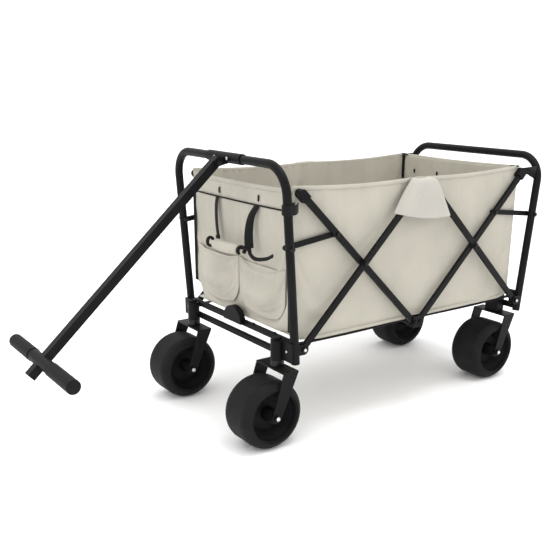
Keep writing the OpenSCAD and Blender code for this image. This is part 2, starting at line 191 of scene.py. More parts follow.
def webbing_material(name, colour, pitch=1.6 * MM):
    """Black strap with ribs across its length and a little fuzz."""
    mat, nodes, links, shader = material(name)
    vector = coordinates(nodes, links, turn=(0.6, 0.4, 0.3))
    ribs = joined(nodes, links, "ADD", threads(nodes, links, vector, "Z", pitch),
                  threads(nodes, links, vector, "Y", pitch))
    fuzz = noise_map(nodes, links, vector, 900.0, 2.0)
    light = tuple(2.2 * c for c in colour)
    links.new(blend_colours(nodes, links, fuzz, colour, light), shader.inputs["Base Color"])
    bump(nodes, links, shader, joined(nodes, links, "ADD", ribs, fuzz), 0.5, 0.4 * MM)
    shader.inputs["Roughness"].default_value = 0.8
    shader.inputs["Specular IOR Level"].default_value = 0.2
    shader.inputs["Sheen Weight"].default_value = 0.03
    return mat


def paint_material(name, colour, roughness=0.42):
    """Powder coat: fine orange peel, slightly uneven gloss and faint dust."""
    mat, nodes, links, shader = material(name)
    vector = coordinates(nodes, links)
    peel = noise_map(nodes, links, vector, 420.0, 2.0)
    patches = noise_map(nodes, links, vector, 14.0, 4.0)
    light = tuple(1.35 * c + 0.002 for c in colour)
    links.new(blend_colours(nodes, links, patches, colour, light), shader.inputs["Base Color"])
    gloss = joined(nodes, links, "ADD", joined(nodes, links, "MULTIPLY", patches, 0.16), roughness - 0.08)
    links.new(gloss, shader.inputs["Roughness"])
    bump(nodes, links, shader, peel, 0.18, 0.3 * MM)
    shader.inputs["Specular IOR Level"].default_value = 0.1
    return mat


def moulded_material(name, colour, roughness, grain=260.0, rings=None):
    """Moulded plastic or rubber: fine grain; rings is the axle and pitch of turned rings, if any."""
    mat, nodes, links, shader = material(name)
    vector = coordinates(nodes, links)
    fine = noise_map(nodes, links, vector, grain * 4, 2.0)
    broad = noise_map(nodes, links, vector, 22.0, 4.0)
    light = tuple(1.5 * c + 0.003 for c in colour)
    links.new(blend_colours(nodes, links, broad, colour, light), shader.inputs["Base Color"])
    height = fine
    if rings:
        centre, pitch = rings
        wave = add(nodes, "ShaderNodeTexWave", Scale=BAND_SPACING / pitch, Distortion=0.0)
        wave.wave_type = "RINGS"
        wave.rings_direction = "X"
        centred = coordinates(nodes, links)
        centred.node.inputs["Location"].default_value = (0, -centre.y, -centre.z)
        links.new(centred, wave.inputs["Vector"])
        ridges = joined(nodes, links, "MULTIPLY", wave.outputs["Fac"], 0.5)
        height = joined(nodes, links, "ADD", fine, ridges)
    bump(nodes, links, shader, height, 0.25, 0.25 * MM)
    rough = joined(nodes, links, "ADD", joined(nodes, links, "MULTIPLY", broad, 0.2), roughness - 0.1)
    links.new(rough, shader.inputs["Roughness"])
    shader.inputs["Specular IOR Level"].default_value = 0.1
    return mat


def metal_material(name, colour):
    mat, nodes, links, shader = material(name)
    vector = coordinates(nodes, links)
    scratches = noise_map(nodes, links, vector, 600.0, 3.0)
    dark = tuple(0.7 * c for c in colour)
    links.new(blend_colours(nodes, links, scratches, dark, colour), shader.inputs["Base Color"])
    shader.inputs["Metallic"].default_value = 0.9
    links.new(joined(nodes, links, "ADD", joined(nodes, links, "MULTIPLY", scratches, 0.3), 0.15),
              shader.inputs["Roughness"])
    bump(nodes, links, shader, scratches, 0.12, 0.1 * MM)
    return mat


CANVAS = canvas_material("canvas", (0.40, 0.378, 0.321), (0.48, 0.454, 0.387))
PATCH = canvas_material("canvas_patch", (0.405, 0.387, 0.348), (0.48, 0.460, 0.416))
THREAD = canvas_material("thread", (0.33, 0.32, 0.28), (0.39, 0.38, 0.33), 0.5 * MM)
WEBBING = webbing_material("webbing", (0.0035, 0.0035, 0.0035))
PAINT = paint_material("painted_steel", (0.0045, 0.0045, 0.005))
PLASTIC = moulded_material("moulded_plastic", (0.003, 0.003, 0.0034), 0.5)
SLEEVE = moulded_material("grip_sleeve", (0.007, 0.007, 0.0073), 0.62, 500.0)
ZINC = metal_material("zinc_bolt", (0.78, 0.79, 0.80))
DARK_BOLT = metal_material("black_bolt", (0.03, 0.03, 0.032))


def wheel_materials(axle):
    tyre = moulded_material("tyre", (0.007, 0.007, 0.0075), 0.6, 300.0, (axle, 9 * MM))
    hub = moulded_material("hub", (0.005, 0.005, 0.0054), 0.55, 260.0)
    return tyre, hub


# ---------- mesh helpers ----------


def smoothstep(low, high, value):
    t = min(max((value - low) / (high - low), 0.0), 1.0)
    return t * t * (3 - 2 * t)


def new_object(name, verts, faces, mat, smooth=True):
    mesh = bpy.data.meshes.new(name)
    mesh.from_pydata([tuple(v) for v in verts], [], faces)
    mesh.validate()
    obj = bpy.data.objects.new(name, mesh)
    bpy.context.scene.collection.objects.link(obj)
    mesh.materials.append(mat)
    for polygon in mesh.polygons:
        polygon.use_smooth = smooth
    return obj


def grid(point, columns, rows):
    """Vertices and quads of a surface, where point(u, v) takes shares from 0 to 1."""
    verts = [point(i / columns, j / rows) for j in range(rows + 1) for i in range(columns + 1)]
    faces = []
    for j in range(rows):
        for i in range(columns):
            a = j * (columns + 1) + i
            faces.append((a, a + 1, a + columns + 2, a + columns + 1))
    return verts, faces


def settle(obj):
    """Bakes the modifiers into the mesh."""
    bpy.context.view_layer.update()
    graph = bpy.context.evaluated_depsgraph_get()
    mesh = bpy.data.meshes.new_from_object(obj.evaluated_get(graph))
    obj.modifiers.clear()
    obj.data = mesh
    for polygon in mesh.polygons:
        polygon.use_smooth = True
    return obj


def drape(obj, pinned, slack, reach, frames=18):
    """Runs cloth on the sheet with some vertices pinned, then limits how far a point may move."""
    scene = bpy.context.scene
    before = [v.co.copy() for v in obj.data.vertices]
    group = obj.vertex_groups.new(name="pinned")
    for index, vert in enumerate(before):
        group.add([index], pinned(vert), "REPLACE")
    cloth = obj.modifiers.new("Cloth", "CLOTH")
    settings = cloth.settings
    settings.quality = 6
    settings.mass = 0.25
    settings.tension_stiffness = 25
    settings.compression_stiffness = 25
    settings.shear_stiffness = 12
    settings.bending_stiffness = 1.5
    settings.shrink_min = -slack
    settings.vertex_group_mass = "pinned"
    settings.pin_stiffness = 4
    cloth.point_cache.frame_start = 1
    cloth.point_cache.frame_end = frames
    scene.frame_start = 1
    scene.frame_end = frames
    for step in range(1, frames + 1):
        scene.frame_set(step)
    graph = bpy.context.evaluated_depsgraph_get()
    moved = obj.evaluated_get(graph).to_mesh()
    for vert, old, new in zip(obj.data.vertices, before, moved.vertices):
        shift = new.co - old
        if shift.length > reach:
            shift *= reach / shift.length
        vert.co = old + shift
    obj.modifiers.remove(cloth)
    obj.vertex_groups.clear()
    scene.frame_set(1)
    return obj


def thicken(obj, thickness, levels=1):
    solid = obj.modifiers.new("Solidify", "SOLIDIFY")
    solid.thickness = thickness
    solid.offset = 0.0
    if levels:
        sub = obj.modifiers.new("Subdivision", "SUBSURF")
        sub.levels = levels
        sub.render_levels = levels
    return settle(obj)


def smooth_path(points, count):
    """Catmull-Rom curve through the points."""
    pts = [Vector(p) for p in points]
    pts = [2 * pts[0] - pts[1]] + pts + [2 * pts[-1] - pts[-2]]
    spans = len(pts) - 3
    result = []
    for step in range(count + 1):
        place = step / count * spans
        i = min(int(place), spans - 1)
        t = place - i
        a, b, c, d = pts[i:i + 4]
        result.append(0.5 * (2 * b + (c - a) * t + (2 * a - 5 * b + 4 * c - d) * t * t
                             + (3 * b - a - 3 * c + d) * t ** 3))
    return result


def loft(name, rings, mat):
    """Skins rings of points, capped at both ends."""
    size = len(rings[0])
    verts = [p for ring in rings for p in ring]
    faces = []
    count = len(rings)
    for i in range(count - 1):
        for k in range(size):
            after = (k + 1) % size
            faces.append((i * size + k, i * size + after, (i + 1) * size + after, (i + 1) * size + k))
    faces.append(tuple(range(size))[::-1])
    faces.append(tuple((count - 1) * size + k for k in range(size)))
    obj = new_object(name, verts, faces, mat)
    work = bmesh.new()
    work.from_mesh(obj.data)
    bmesh.ops.recalc_face_normals(work, faces=work.faces)
    work.to_mesh(obj.data)
    work.free()
    return obj


def strap(name, points, width, thickness, across, mat, count):
    """Flat webbing along a path; across gives the direction of its width, or a list of one for each end."""
    path = smooth_path(points, count)
    sides = across if isinstance(across, list) else [across, across]
    rings = []
    for i, p in enumerate(path):
        after = path[min(i + 1, len(path) - 1)]
        before = path[max(i - 1, 0)]
        along = (after - before).normalized()
        share = i / (len(path) - 1)
        side = sides[0].lerp(sides[-1], share)
        side = (side - along * side.dot(along)).normalized()
        up = along.cross(side)
        w, t, r = width / 2, thickness / 2, thickness / 2.5
        outline = [(w - r, t), (w, t - r), (w, r - t), (w - r, -t),
                   (r - w, -t), (-w, r - t), (-w, t - r), (r - w, t)]
        rings.append([p + side * a + up * b for a, b in outline])
    return loft(name, rings, mat)


def stitches(name, lines, mat, pitch=6 * MM, length=3.6 * MM, radius=0.45 * MM):
    """Rows of raised stitches along polylines."""
    verts, faces = [], []
    for line in lines:
        pts = [Vector(p) for p in line]
        for a, b in zip(pts, pts[1:]):
            run = (b - a).length
            along = (b - a).normalized()
            side = along.orthogonal().normalized()
            up = along.cross(side)
            for k in range(max(1, int(run / pitch))):
                middle = a + along * (k + 0.5) * pitch
                base = len(verts)
                for share, fat in ((-0.5, 0.2), (-0.3, 1.0), (0.3, 1.0), (0.5, 0.2)):
                    for q in range(6):
                        turn = 2 * math.pi * q / 6
                        verts.append(middle + along * share * length
                                     + (side * math.cos(turn) + up * math.sin(turn)) * radius * fat)
                for ring in range(3):
                    for q in range(6):
                        faces.append((base + ring * 6 + q, base + ring * 6 + (q + 1) % 6,
                                      base + (ring + 1) * 6 + (q + 1) % 6, base + (ring + 1) * 6 + q))
                faces.append(tuple(base + q for q in range(6))[::-1])
                faces.append(tuple(base + 18 + q for q in range(6)))
    return new_object(name, verts, faces, mat)


def dome(name, centre, direction, radius, height, mat):
    """Rounded bolt or rivet head."""
    axis = Vector(direction).normalized()
    side = axis.orthogonal().normalized()
    up = axis.cross(side)
    profile = [(radius, 0.0), (radius, 0.35 * height), (0.85 * radius, 0.7 * height),
               (0.55 * radius, 0.93 * height), (0.15 * radius, height)]
    rings = [[Vector(centre) + axis * h + (side * math.cos(a) + up * math.sin(a)) * r
              for a in (2 * math.pi * k / 20 for k in range(20))] for r, h in profile]
    return loft(name, rings, mat)


def ride(obj, body):
    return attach(obj, body)


def sewn(name, path, width, thickness, across, count, body):
    """Webbing along a path that is sewn to a body."""
    ride(strap(name, path, width, thickness, across, WEBBING, count), body)


def mirrored(point, sign):
    return Vector((sign * point[0], point[1], point[2]))


SIDES = (("left", -1), ("right", 1))
ENDS = ("front", "rear")

# ---------- CAD nodes' finishes ----------


def paint_nodes():
    by_slot = {"frame": PAINT, "plastic": PLASTIC, "grip": SLEEVE, "zinc": DARK_BOLT,
               "canvas": CANVAS, "webbing": WEBBING}
    for part in frame["record"]["subparts"]:
        mat = by_slot.get(part["material_slot"])
        if mat:
            dress(frame["nodes"][part["node"]], mat)
    for end in ENDS:
        for side, _ in SIDES:
            tyre, hub = wheel_materials(pivot(f"spin_{end}_{side}"))
            dress(frame["nodes"][f"tyre_{end}_{side}"], tyre)
            dress(frame["nodes"][f"hub_{end}_{side}"], hub)


def dress(obj, mat):
    obj.data.materials.clear()
    obj.data.materials.append(mat)


paint_nodes()

# ---------- fabric shapes ----------

FABRIC = 1.6 * MM
HUB_Z = TOP_PIVOT.z
# The fabric stays this close to its plane so that the links clear it
OUT_LIMIT = 2.5 * MM
# How far the bag's two front corners are gathered up; the left one more than the right
CORNER_CUT = {"left": 76 * MM, "right": 14 * MM}
# Share of that rise which the end cloths take
END_CUT = 0.68


def top_edge(y):
    """Height of a side panel's top edge, which hangs slack between its three fixings."""
    half = (REAR_Y - FRONT_Y) / 4
    share = ((y - FRONT_Y) % (2 * half)) / (2 * half)
    sag = 5 * MM * math.sin(math.pi * share)
    dip = 6 * MM * math.sin(math.pi * (y - FRONT_Y) / (REAR_Y - FRONT_Y))
    return TOP_Z + 1 * MM - sag - dip


def low_edge(y, cut):
    """Height of a side panel's hem; cut is how far it rises into the front corner."""
    ahead = max(0.0, 1 - (y - FRONT_Y) / (90 * MM))
    behind = max(0.0, 1 - (REAR_Y - y) / (60 * MM))
    return SIDE_LOW_Z + cut * ahead ** 1.2 + 12 * MM * behind ** 2.2


FRONT_FOLD = (FOOT_Y + 400 * MM, 609 * MM), (FOOT_Y + 40 * MM, 344 * MM)
REAR_FOLD = (FOOT_Y + 470 * MM, 600 * MM), (FOOT_Y + 770 * MM, 320 * MM)


def crease(y, z, ends, depth, rise, width):
    """A long tension fold: the cloth turns in above a line and comes out again below it."""
    start, end = ends
    line = Vector((end[0] - start[0], end[1] - start[1]))
    along = Vector((y - start[0], z - start[1]))
    share = along.dot(line) / line.length_squared
    off = (line.x * along.y - line.y * along.x) / line.length
    off *= 1 if line.x < 0 else -1
    fade = smoothstep(-0.02, 0.1, share) * (1 - smoothstep(0.86, 1.04, share))
    if off < 0:
        shape = -depth * math.exp(off / (70 * MM))
    elif off < width:
        shape = -depth + (depth + rise) * (off / width) ** 0.85
    else:
        shape = rise * math.exp((width - off) / (90 * MM))
    return fade * shape


def side_bulge(y, z, seed):
    """How far a side panel stands out at a place, folds included."""
    front_fold = crease(y, z, FRONT_FOLD, 7 * MM, 4 * MM, 26 * MM)
    rear_fold = crease(y, z, REAR_FOLD, 4 * MM, 1 * MM, 40 * MM)
    soft = noise.noise(Vector((y * 7 + seed, z * 7, seed))) * 2.5 * MM
    fine = noise.noise(Vector((y * 22 + seed, z * 17, seed + 5))) * 1.3 * MM
    return front_fold + rear_fold + soft + fine


def edge_fade(u, v, margin=0.05):
    """0 on a sheet's rim and 1 inside it."""
    return smoothstep(0, margin, min(u, 1 - u)) * smoothstep(0, 2 * margin, min(v, 1 - v))


def side_panel(side, sign):
    columns, rows = 120, 54
    cut = CORNER_CUT[side]

    def point(u, v):
        y = FRONT_Y + u * (REAR_Y - FRONT_Y)
        low = low_edge(y, cut)
        z = low + v * (top_edge(y) - low)
        out = side_bulge(y, z, 3.0 + sign) * edge_fade(u, v) - 1.5 * MM
        return Vector((sign * (SIDE_X + min(out, OUT_LIMIT)), y, z))

    verts, faces = grid(point, columns, rows)
    if sign < 0:
        faces = [f[::-1] for f in faces]
    obj = new_object(f"side_panel_{side}", verts, faces, CANVAS)

    def pinned(p):
        rim = min(p.y - FRONT_Y, REAR_Y - p.y) < 4 * MM
        hem = p.z < low_edge(p.y, cut) + 4 * MM
        hub = p.z > top_edge(p.y) - 4 * MM
        return 1.0 if rim or hem or hub else 0.0

    drape(obj, pinned, 0.008, 3.5 * MM)
    for vert in obj.data.vertices:
        vert.co.x = sign * min(sign * vert.co.x, SIDE_X + OUT_LIMIT)
    thicken(obj, FABRIC)
    ride_folding(obj, "bag")
    return obj


def ride_folding(obj, body):
    """Rides on a body, with a mesh of its own."""
    ride(obj, body)
    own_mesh(obj)


def end_panel_point(u, v, y, top, seed, cuts):
    x = (2 * u - 1) * PANEL_X
    corner = max(0.0, (abs(x) - PANEL_X + 60 * MM) / (60 * MM))
    low = PANEL_LOW_Z + cuts["left" if x < 0 else "right"] * END_CUT * smoothstep(0, 0.7, corner)
    z = low + v * (top - 4 * MM * math.sin(math.pi * u) - low)
    soft = noise.noise(Vector((x * 8 + seed, z * 8, seed))) * 6 * MM * edge_fade(u, v, 0.08)
    return Vector((x, y + soft, z))


def end_panel(name, node, y, top, seed, cuts):
    verts, faces = grid(lambda u, v: end_panel_point(u, v, y, top, seed, cuts), 72, 50)
    obj = new_object(name, verts, faces, CANVAS)

    def pinned(p):
        edge = PANEL_X - abs(p.x) < 4 * MM
        rim = p.z > top - 9 * MM or p.z < PANEL_LOW_Z + 4 * MM
        return 1.0 if edge or rim else 0.0

    drape(obj, pinned, 0.010, 6 * MM)
    thicken(obj, FABRIC)
    ride(obj, node)
    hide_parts(node)
    return obj


def floor_panel():
    """Folding base: stiff boards under canvas with a sewn crease between them."""
    length = REAR_Y - FRONT_Y - 10 * MM
    boards = 4

    def point(u, v):
        y = FRONT_Y + 5 * MM + u * length
        x = (2 * v - 1) * (PANEL_X - 2 * MM)
        share = u * boards % 1
        groove = 2.2 * MM * max(0.0, 1 - min(share, 1 - share) * length / boards / (7 * MM))
        sag = 1.5 * MM * math.sin(math.pi * v) * math.sin(math.pi * share)
        return Vector((x, y, FLOOR_TOP_Z - 1 * MM - groove - sag))

    verts, faces = grid(point, 160, 40)
    obj = new_object("floor_cloth", verts, faces, CANVAS)
    thicken(obj, FABRIC, levels=0)
    ride_folding(obj, "bag")
    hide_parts("bag_floor")


COVER_TOP_HALF = 25 * MM
COVER_LOW_HALF = 103 * MM
# The cover's path from the hem over the hub and down outside the links, in X and Z
COVER_PATH = [(SIDE_X + 1 * MM, -2 * MM), (SIDE_X + 9 * MM, 1.5 * MM), (SIDE_X + 17 * MM, 3.8 * MM),
              (SIDE_X + 32 * MM, 3.6 * MM), (SIDE_X + 38.5 * MM, -3 * MM), (SIDE_X + 40.5 * MM, -24 * MM),
              (SIDE_X + 40.5 * MM, -98 * MM)]


def along_path(path, share):
    """A place at a share of a polyline's length."""
    pts = [Vector(p) for p in path]
    rest = share * sum((b - a).length for a, b in zip(pts, pts[1:]))
    for a, b in zip(pts, pts[1:]):
        step = (b - a).length
        if rest <= step or b is pts[-1]:
            return a.lerp(b, rest / step)
        rest -= step


def hub_cover(side, sign):
    """Canvas that is sewn to the top hem and hangs over the hub and the upper link ends."""
    top = top_edge(MID_Y)
    path = [p.to_2d() for p in smooth_path([(x, z, 0) for x, z in COVER_PATH], 36)]
    centre_y = MID_Y - 5 * MM

    def point(u, v):
        s = 2 * u - 1
        share = 1 - v
        x, drop = along_path(path, share)
        low = smoothstep(0.25, 1.0, share)
        spread = (max(0.0, share - 0.2) / 0.8) ** 0.8
        half = COVER_TOP_HALF + (COVER_LOW_HALF - COVER_TOP_HALF) * spread
        lift = (8.5 * s * s - 10.5 * s) * MM * low
        wing = max(0.0, (abs(s) - 0.74) / 0.26) ** 2
        x -= wing * (0.85 - 0.3 * low) * (x - SIDE_X - 2 * MM)
        fold = 1.2 * MM * math.sin(8 * s + 1.3) * low
        return Vector((sign * (x + fold), centre_y + s * half, top + drop + lift))

    verts, faces = grid(point, 44, 40)
    if sign < 0:
        faces = [f[::-1] for f in faces]
    obj = new_object(f"hub_cover_{side}", verts, faces, PATCH)

    def pinned(p):
        return 1.0 if p.z > top - 30 * MM or abs(p.y - centre_y) > 66 * MM else 0.2

    drape(obj, pinned, 0.012, 3 * MM)
    thicken(obj, FABRIC)
    length = sum((b - a).length for a, b in zip(path, path[1:]))
    ride_folding(obj, f"top_hub_{side}")


sides = [side_panel(side, sign) for side, sign in SIDES]
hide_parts("bag_sides")
end_panel("front_cloth", "front_panel", FRONT_Y + 1.5 * MM, FRONT_TOP_Z, 2.0, CORNER_CUT)
end_panel("rear_cloth", "rear_panel", REAR_Y - 1.5 * MM, TOP_Z, 9.0, {"left": 10 * MM, "right": 10 * MM})
floor_panel()
for side, sign in SIDES:
    hub_cover(side, sign)

# ---------- front pockets ----------

POCKET_TOP_Z = PANEL_LOW_Z + 164 * MM
POCKET_LOW_Z = PANEL_LOW_Z + 22 * MM
POCKET_HALF = 106 * MM
POCKET_DEPTH = 38 * MM


def pocket_depth(s, v):
    """How far a pocket stands out: full low down, nearly closed at its mouth."""
    across = max(0.0, 1 - s * s) ** 1.15
    upward = smoothstep(-0.02, 0.5, v) * (1 - 0.85 * smoothstep(0.4, 1.0, v))
    return POCKET_DEPTH * across * upward


def pocket(side, sign):
    centre_x = sign * 107 * MM

    def point(u, v):
        s = 2 * u - 1
        rounded = 1 - 0.3 * max(0.0, 1 - v / 0.4) ** 2
        x = centre_x + s * POCKET_HALF * rounded
        z = POCKET_LOW_Z + v * (POCKET_TOP_Z - POCKET_LOW_Z) + 10 * MM * s * s * (1 - v)
        wave = noise.noise(Vector((x * 16, z * 9, 4.0 + sign))) * 5 * MM
        gather = 2.0 * MM * math.sin(14 * s + sign) * (1 - v) ** 2
        depth = pocket_depth(s, v)
        rim = smoothstep(0, 14 * MM, depth)
        return Vector((x, FRONT_Y - 1.2 * MM - depth - (wave + gather) * rim, z))

    verts, faces = grid(point, 56, 48)
    obj = new_object(f"pocket_{side}", verts, faces, CANVAS)

    def pinned(p):
        s = abs(p.x - centre_x) / POCKET_HALF
        return 1.0 if s > 0.93 or p.z < POCKET_LOW_Z + 8 * MM else 0.0

    drape(obj, pinned, 0.015, 8 * MM)
    for vert in obj.data.vertices:
        vert.co.y = min(vert.co.y, FRONT_Y - 1.0 * MM)
    thicken(obj, FABRIC)
    ride(obj, "front_panel")
    return obj


pockets = [pocket(side, sign) for side, sign in SIDES]
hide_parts("front_pockets")

# ---------- bindings, seams and stitching ----------

BOUND_Z = FRONT_TOP_Z - 47 * MM
# Places along an end panel's edge, as shares of its half width
EDGE_SHARES = (-1, -0.6, -0.2, 0.2, 0.6, 1)


def front_at(x, out, z):
    return Vector((x, FRONT_Y - out, z))


def front_trim():
    edge = [front_at(x * PANEL_X, 1.6 * MM, BOUND_Z - 2.5 * MM * math.cos(x * 1.4)) for x in EDGE_SHARES]
    sewn("front_binding", edge, 4.2 * MM, 3.0 * MM, UP, 60, "front_panel")
    for side, sign in SIDES:
        tack = [front_at(sign * x * MM, out * MM, BOUND_Z + rise * MM)
                for x, out, rise in ((93, 1.4, 8), (95, 2.4, 15), (94, 1.4, 24))]
        sewn(f"front_tab_{side}", tack, 6.5 * MM, 1.6 * MM, ALONG_X, 8, "front_panel")
        low = PANEL_LOW_Z + END_CUT * CORNER_CUT[side]
        corner_x = sign * (PANEL_X - 4 * MM)
        corner = [front_at(corner_x, 2 * MM, low + k / 6 * (BOUND_Z - low)) for k in range(7)]
        sewn(f"corner_binding_{side}", corner, 13 * MM, 2.2 * MM, ALONG_X, 40, "front_panel")


def rear_trim():
    inner_y = REAR_Y - 5 * MM
    for side, sign in SIDES:
        x = sign * (PANEL_X - 3 * MM)
        tape = [Vector((x, inner_y, TOP_Z - share * 78 * MM)) for share in (0, 0.5, 1)]
        facing = Vector((1, -0.4 * sign, 0)).normalized()
        sewn(f"corner_tape_{side}", tape, 11 * MM, 2 * MM, facing, 12, "rear_panel")
        cross = [Vector((x - sign * 16 * MM, inner_y - 2 * MM, TOP_Z + 3 * MM)),
                 Vector((x, inner_y, TOP_Z + 5 * MM)),
                 Vector((x + sign * 12 * MM, inner_y, TOP_Z + 4 * MM))]
        sewn(f"corner_tee_{side}", cross, 9 * MM, 3 * MM, Vector((0, 1, 0)), 8, "rear_panel")
    for index, x in enumerate((-181, -79, 79, 181)):
        tab = [Vector((x * MM, inner_y + 2 * MM, (606 - k * 6) * MM)) for k in range(3)]
        sewn(f"rear_tab_{index}", tab, 7 * MM, 1.6 * MM, ALONG_X, 6, "rear_panel")


def hems():
    roll = 2.8 * MM
    for side, sign in SIDES:
        x = sign * (SIDE_X - 0.8 * MM)
        steps = [FRONT_Y + k / 60 * (REAR_Y - FRONT_Y) for k in range(61)]
        top = [Vector((x, y, top_edge(y))) for y in steps]
        ride_folding(strap(f"top_hem_{side}", top, 12 * MM, roll, UP, CANVAS, 120), "bag")
        low = [Vector((x, p.y, low_edge(p.y, CORNER_CUT[side]) + 1 * MM)) for p in top]
        ride_folding(strap(f"low_hem_{side}", low, 10 * MM, roll, UP, CANVAS, 120), "bag")
        rows = [[p + Vector((sign * 1.7 * MM, 0, -4.5 * MM)) for p in top],
                [p + Vector((sign * 1.7 * MM, 0, 3.5 * MM)) for p in low]]
        ride_folding(stitches(f"side_stitches_{side}", rows, THREAD), "bag")
    for name, y, top, out in (("front", FRONT_Y, FRONT_TOP_Z, -1), ("rear", REAR_Y, TOP_Z, 1)):
        edge = [Vector((x * PANEL_X, y, top - 4 * MM * math.cos(x * math.pi / 2))) for x in EDGE_SHARES]
        ride(strap(f"{name}_hem", edge, 12 * MM, roll, UP, CANVAS, 60), f"{name}_panel")
        row = [[p + Vector((0, out * 1.7 * MM, -4.5 * MM)) for p in edge]]
        ride(stitches(f"{name}_stitches", row, THREAD), f"{name}_panel")


front_trim()
rear_trim()
hems()

# ---------- straps around the frames ----------


def leg_point(end, z):
    """Centre of a leg at a height."""
    base = FOOT_Y if end == "front" else REAR_FOOT_Y
    return Vector((LEG_X, base + AWAY[end] * math.tan(math.radians(LEAN[end])) * (z - FOOT.z), z))


def leg_wrap(side, sign, z, height):
    """Webbing loop from the bag's front corner around the leg."""
    centre = leg_point("front", z)
    corner_y = FRONT_Y + 4 * MM
    radius = 13.2 * MM
    path = [Vector((SIDE_X + 1.5 * MM, corner_y, z)), Vector((centre.x - radius, centre.y + 4 * MM, z))]
    for k in range(9):
        turn = math.pi - math.pi * 1.1 * k / 8
        path.append(centre + radius * Vector((math.cos(turn), -math.sin(turn), 0)))
    path.append(Vector((centre.x + 9 * MM, centre.y + 18 * MM, z)))
    path.append(Vector((SIDE_X + 8 * MM, corner_y + 6 * MM, z)))
    path = [mirrored(p, sign) for p in path]
    sewn(f"leg_wrap_front_{side}", path, height, 2.2 * MM, UP, 60, "front_frame")


def corner_gusset(side, sign):
    """Black triangle of doubled webbing between the rear corner cap and the leg."""
    leg = leg_point("rear", 648 * MM)
    low = leg_point("rear", 612 * MM)
    cap_y = REAR_FOOT_Y - PIVOT_INSET
    x = LEG_X - 3 * MM
    outline = [(cap_y - 6 * MM, HUB_Z + 11 * MM), (leg.y - 9 * MM, 650 * MM),
               (low.y - 10 * MM, 612 * MM), (low.y - 16 * MM, 616 * MM),
               (cap_y + 6 * MM, HUB_Z - 4 * MM)]
    rings = [[Vector((sign * (x + shift), y, z)) for y, z in outline] for shift in (-2 * MM, 2 * MM)]
    ride(loft(f"corner_gusset_{side}", rings, WEBBING), "rear_frame")


leg_wrap("right", 1, 604 * MM, 24 * MM)
for side, sign in SIDES:
    corner_gusset(side, sign)


def base_strap(side, sign):
    """Webbing below the side seam, which stops the cart from opening too far."""
    low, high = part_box("base_straps")
    x = (SIDE_X + high[0]) / 2 - 6 * MM
    z = (low[2] + high[2]) / 2
    inner_x = 224 * MM
    path = []
    for k in range(9):
        sag = 1.5 * MM * math.sin(math.pi * k / 4) ** 2
        path.append(Vector((sign * x, low[1] + (high[1] - low[1]) * k / 8, z - sag)))
    obj = strap(f"base_strap_{side}", path, high[0] - inner_x, 2.2 * MM, ALONG_X, WEBBING, 80)
    ride_folding(obj, "centre")
    return obj


base = [base_strap(side, sign) for side, sign in SIDES]
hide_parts("base_straps")

# ---------- carry handle on the front panel ----------


def soft_bar(name, start, end, deep, wide):
    """Padded bar with rounded ends between two places."""
    rings = []
    for k in range(25):
        share = k / 24
        centre = start.lerp(end, share) - Vector((0, 0, 2 * MM * math.sin(math.pi * share)))
        full = (0.72 + 0.28 * math.sin(math.pi * share) ** 0.4) * (1 + 0.08 * math.sin(math.pi * share))
        ring = []
        for q in range(20):
            turn = 2 * math.pi * q / 20
            out = math.copysign(abs(math.cos(turn)) ** 0.75, math.cos(turn))
            up = math.copysign(abs(math.sin(turn)) ** 0.75, math.sin(turn))
            ring.append(centre + Vector((0, -deep * full * out, wide * full * up)))
        rings.append(ring)
    bar = loft(name, rings, CANVAS)
    bar.modifiers.new("Subdivision", "SUBSURF").levels = 1
    return settle(bar)


def webbing_loop(name, centre, tall, deep, width, opening):
    """Bent webbing that holds the padded bar's end; opening is its gap's direction in degrees."""
    path = []
    for k in range(19):
        turn = math.radians(opening + 40 + 280 * k / 18)
        path.append(centre + Vector((0, -deep * math.cos(turn), tall * math.sin(turn))))
    sewn(name, path, width, 6.5 * MM, ALONG_X, 36, "front_panel")


def carry_strap(name, places, width, thickness, across):
    """Webbing through places given as X, distance ahead of the panel, and Z in millimetres."""
    path = [front_at(x * MM, out * MM, z * MM) for x, out, z in places]
    sewn(name, path, width, thickness, across, 36, "front_panel")


def carry_handle():
    out = 34 * MM
    left, right = front_at(-78 * MM, out, 469 * MM), front_at(50 * MM, out, 474 * MM)
    grip = soft_bar("carry_grip", left, right, 10 * MM, 13.5 * MM)
    ride(grip, "front_panel")
    seam = [[left.lerp(right, k / 12) + Vector((0, -10.6 * MM, -7 * MM)) for k in range(13)]]
    ride(stitches("carry_grip_stitches", seam, THREAD), "front_panel")
    webbing_loop("carry_loop_left", front_at(-93 * MM, out, 472 * MM), 12 * MM, 9 * MM, 13 * MM, 200)
    webbing_loop("carry_loop_right", front_at(62 * MM, out, 474 * MM), 10 * MM, 11 * MM, 14 * MM, -90)
    facing = Vector((0.6, 0.8, 0))
    sideways = Vector((1, -0.12, 0))
    carry_strap("carry_strap_left", [(-102, 3, 593), (-100, 9, 565), (-94, 12, 520), (-84, 13, 480)],
                17 * MM, 2 * MM, sideways)
    carry_strap("carry_strap_right", [(91, 3, 590), (82, 16, 560), (86, 26, 522), (98, 33, 486)],
                23 * MM, 2 * MM, [ALONG_X, facing])
    carry_strap("carry_tack_left", [(-85, 14, 489), (-84, 15, 479)], 26 * MM, 3 * MM, sideways)
    carry_strap("carry_link_right", [(64, 38, 484), (80, 36, 484), (98, 34, 482)],
                11 * MM, 2.4 * MM, UP)
    carry_strap("carry_tail",
                [(99, 34, 488), (106, 34, 471), (127, 32, 463), (163, 26, 469), (188, 22, 481)],
                10 * MM, 3 * MM, Vector((0, 0.4, 1)))


carry_handle()

# ---------- bolts and small trim ----------


def bolt(name, centre, direction, radius, height, body, mat=ZINC):
    ride(dome(name, centre, direction, radius, height, mat), body)


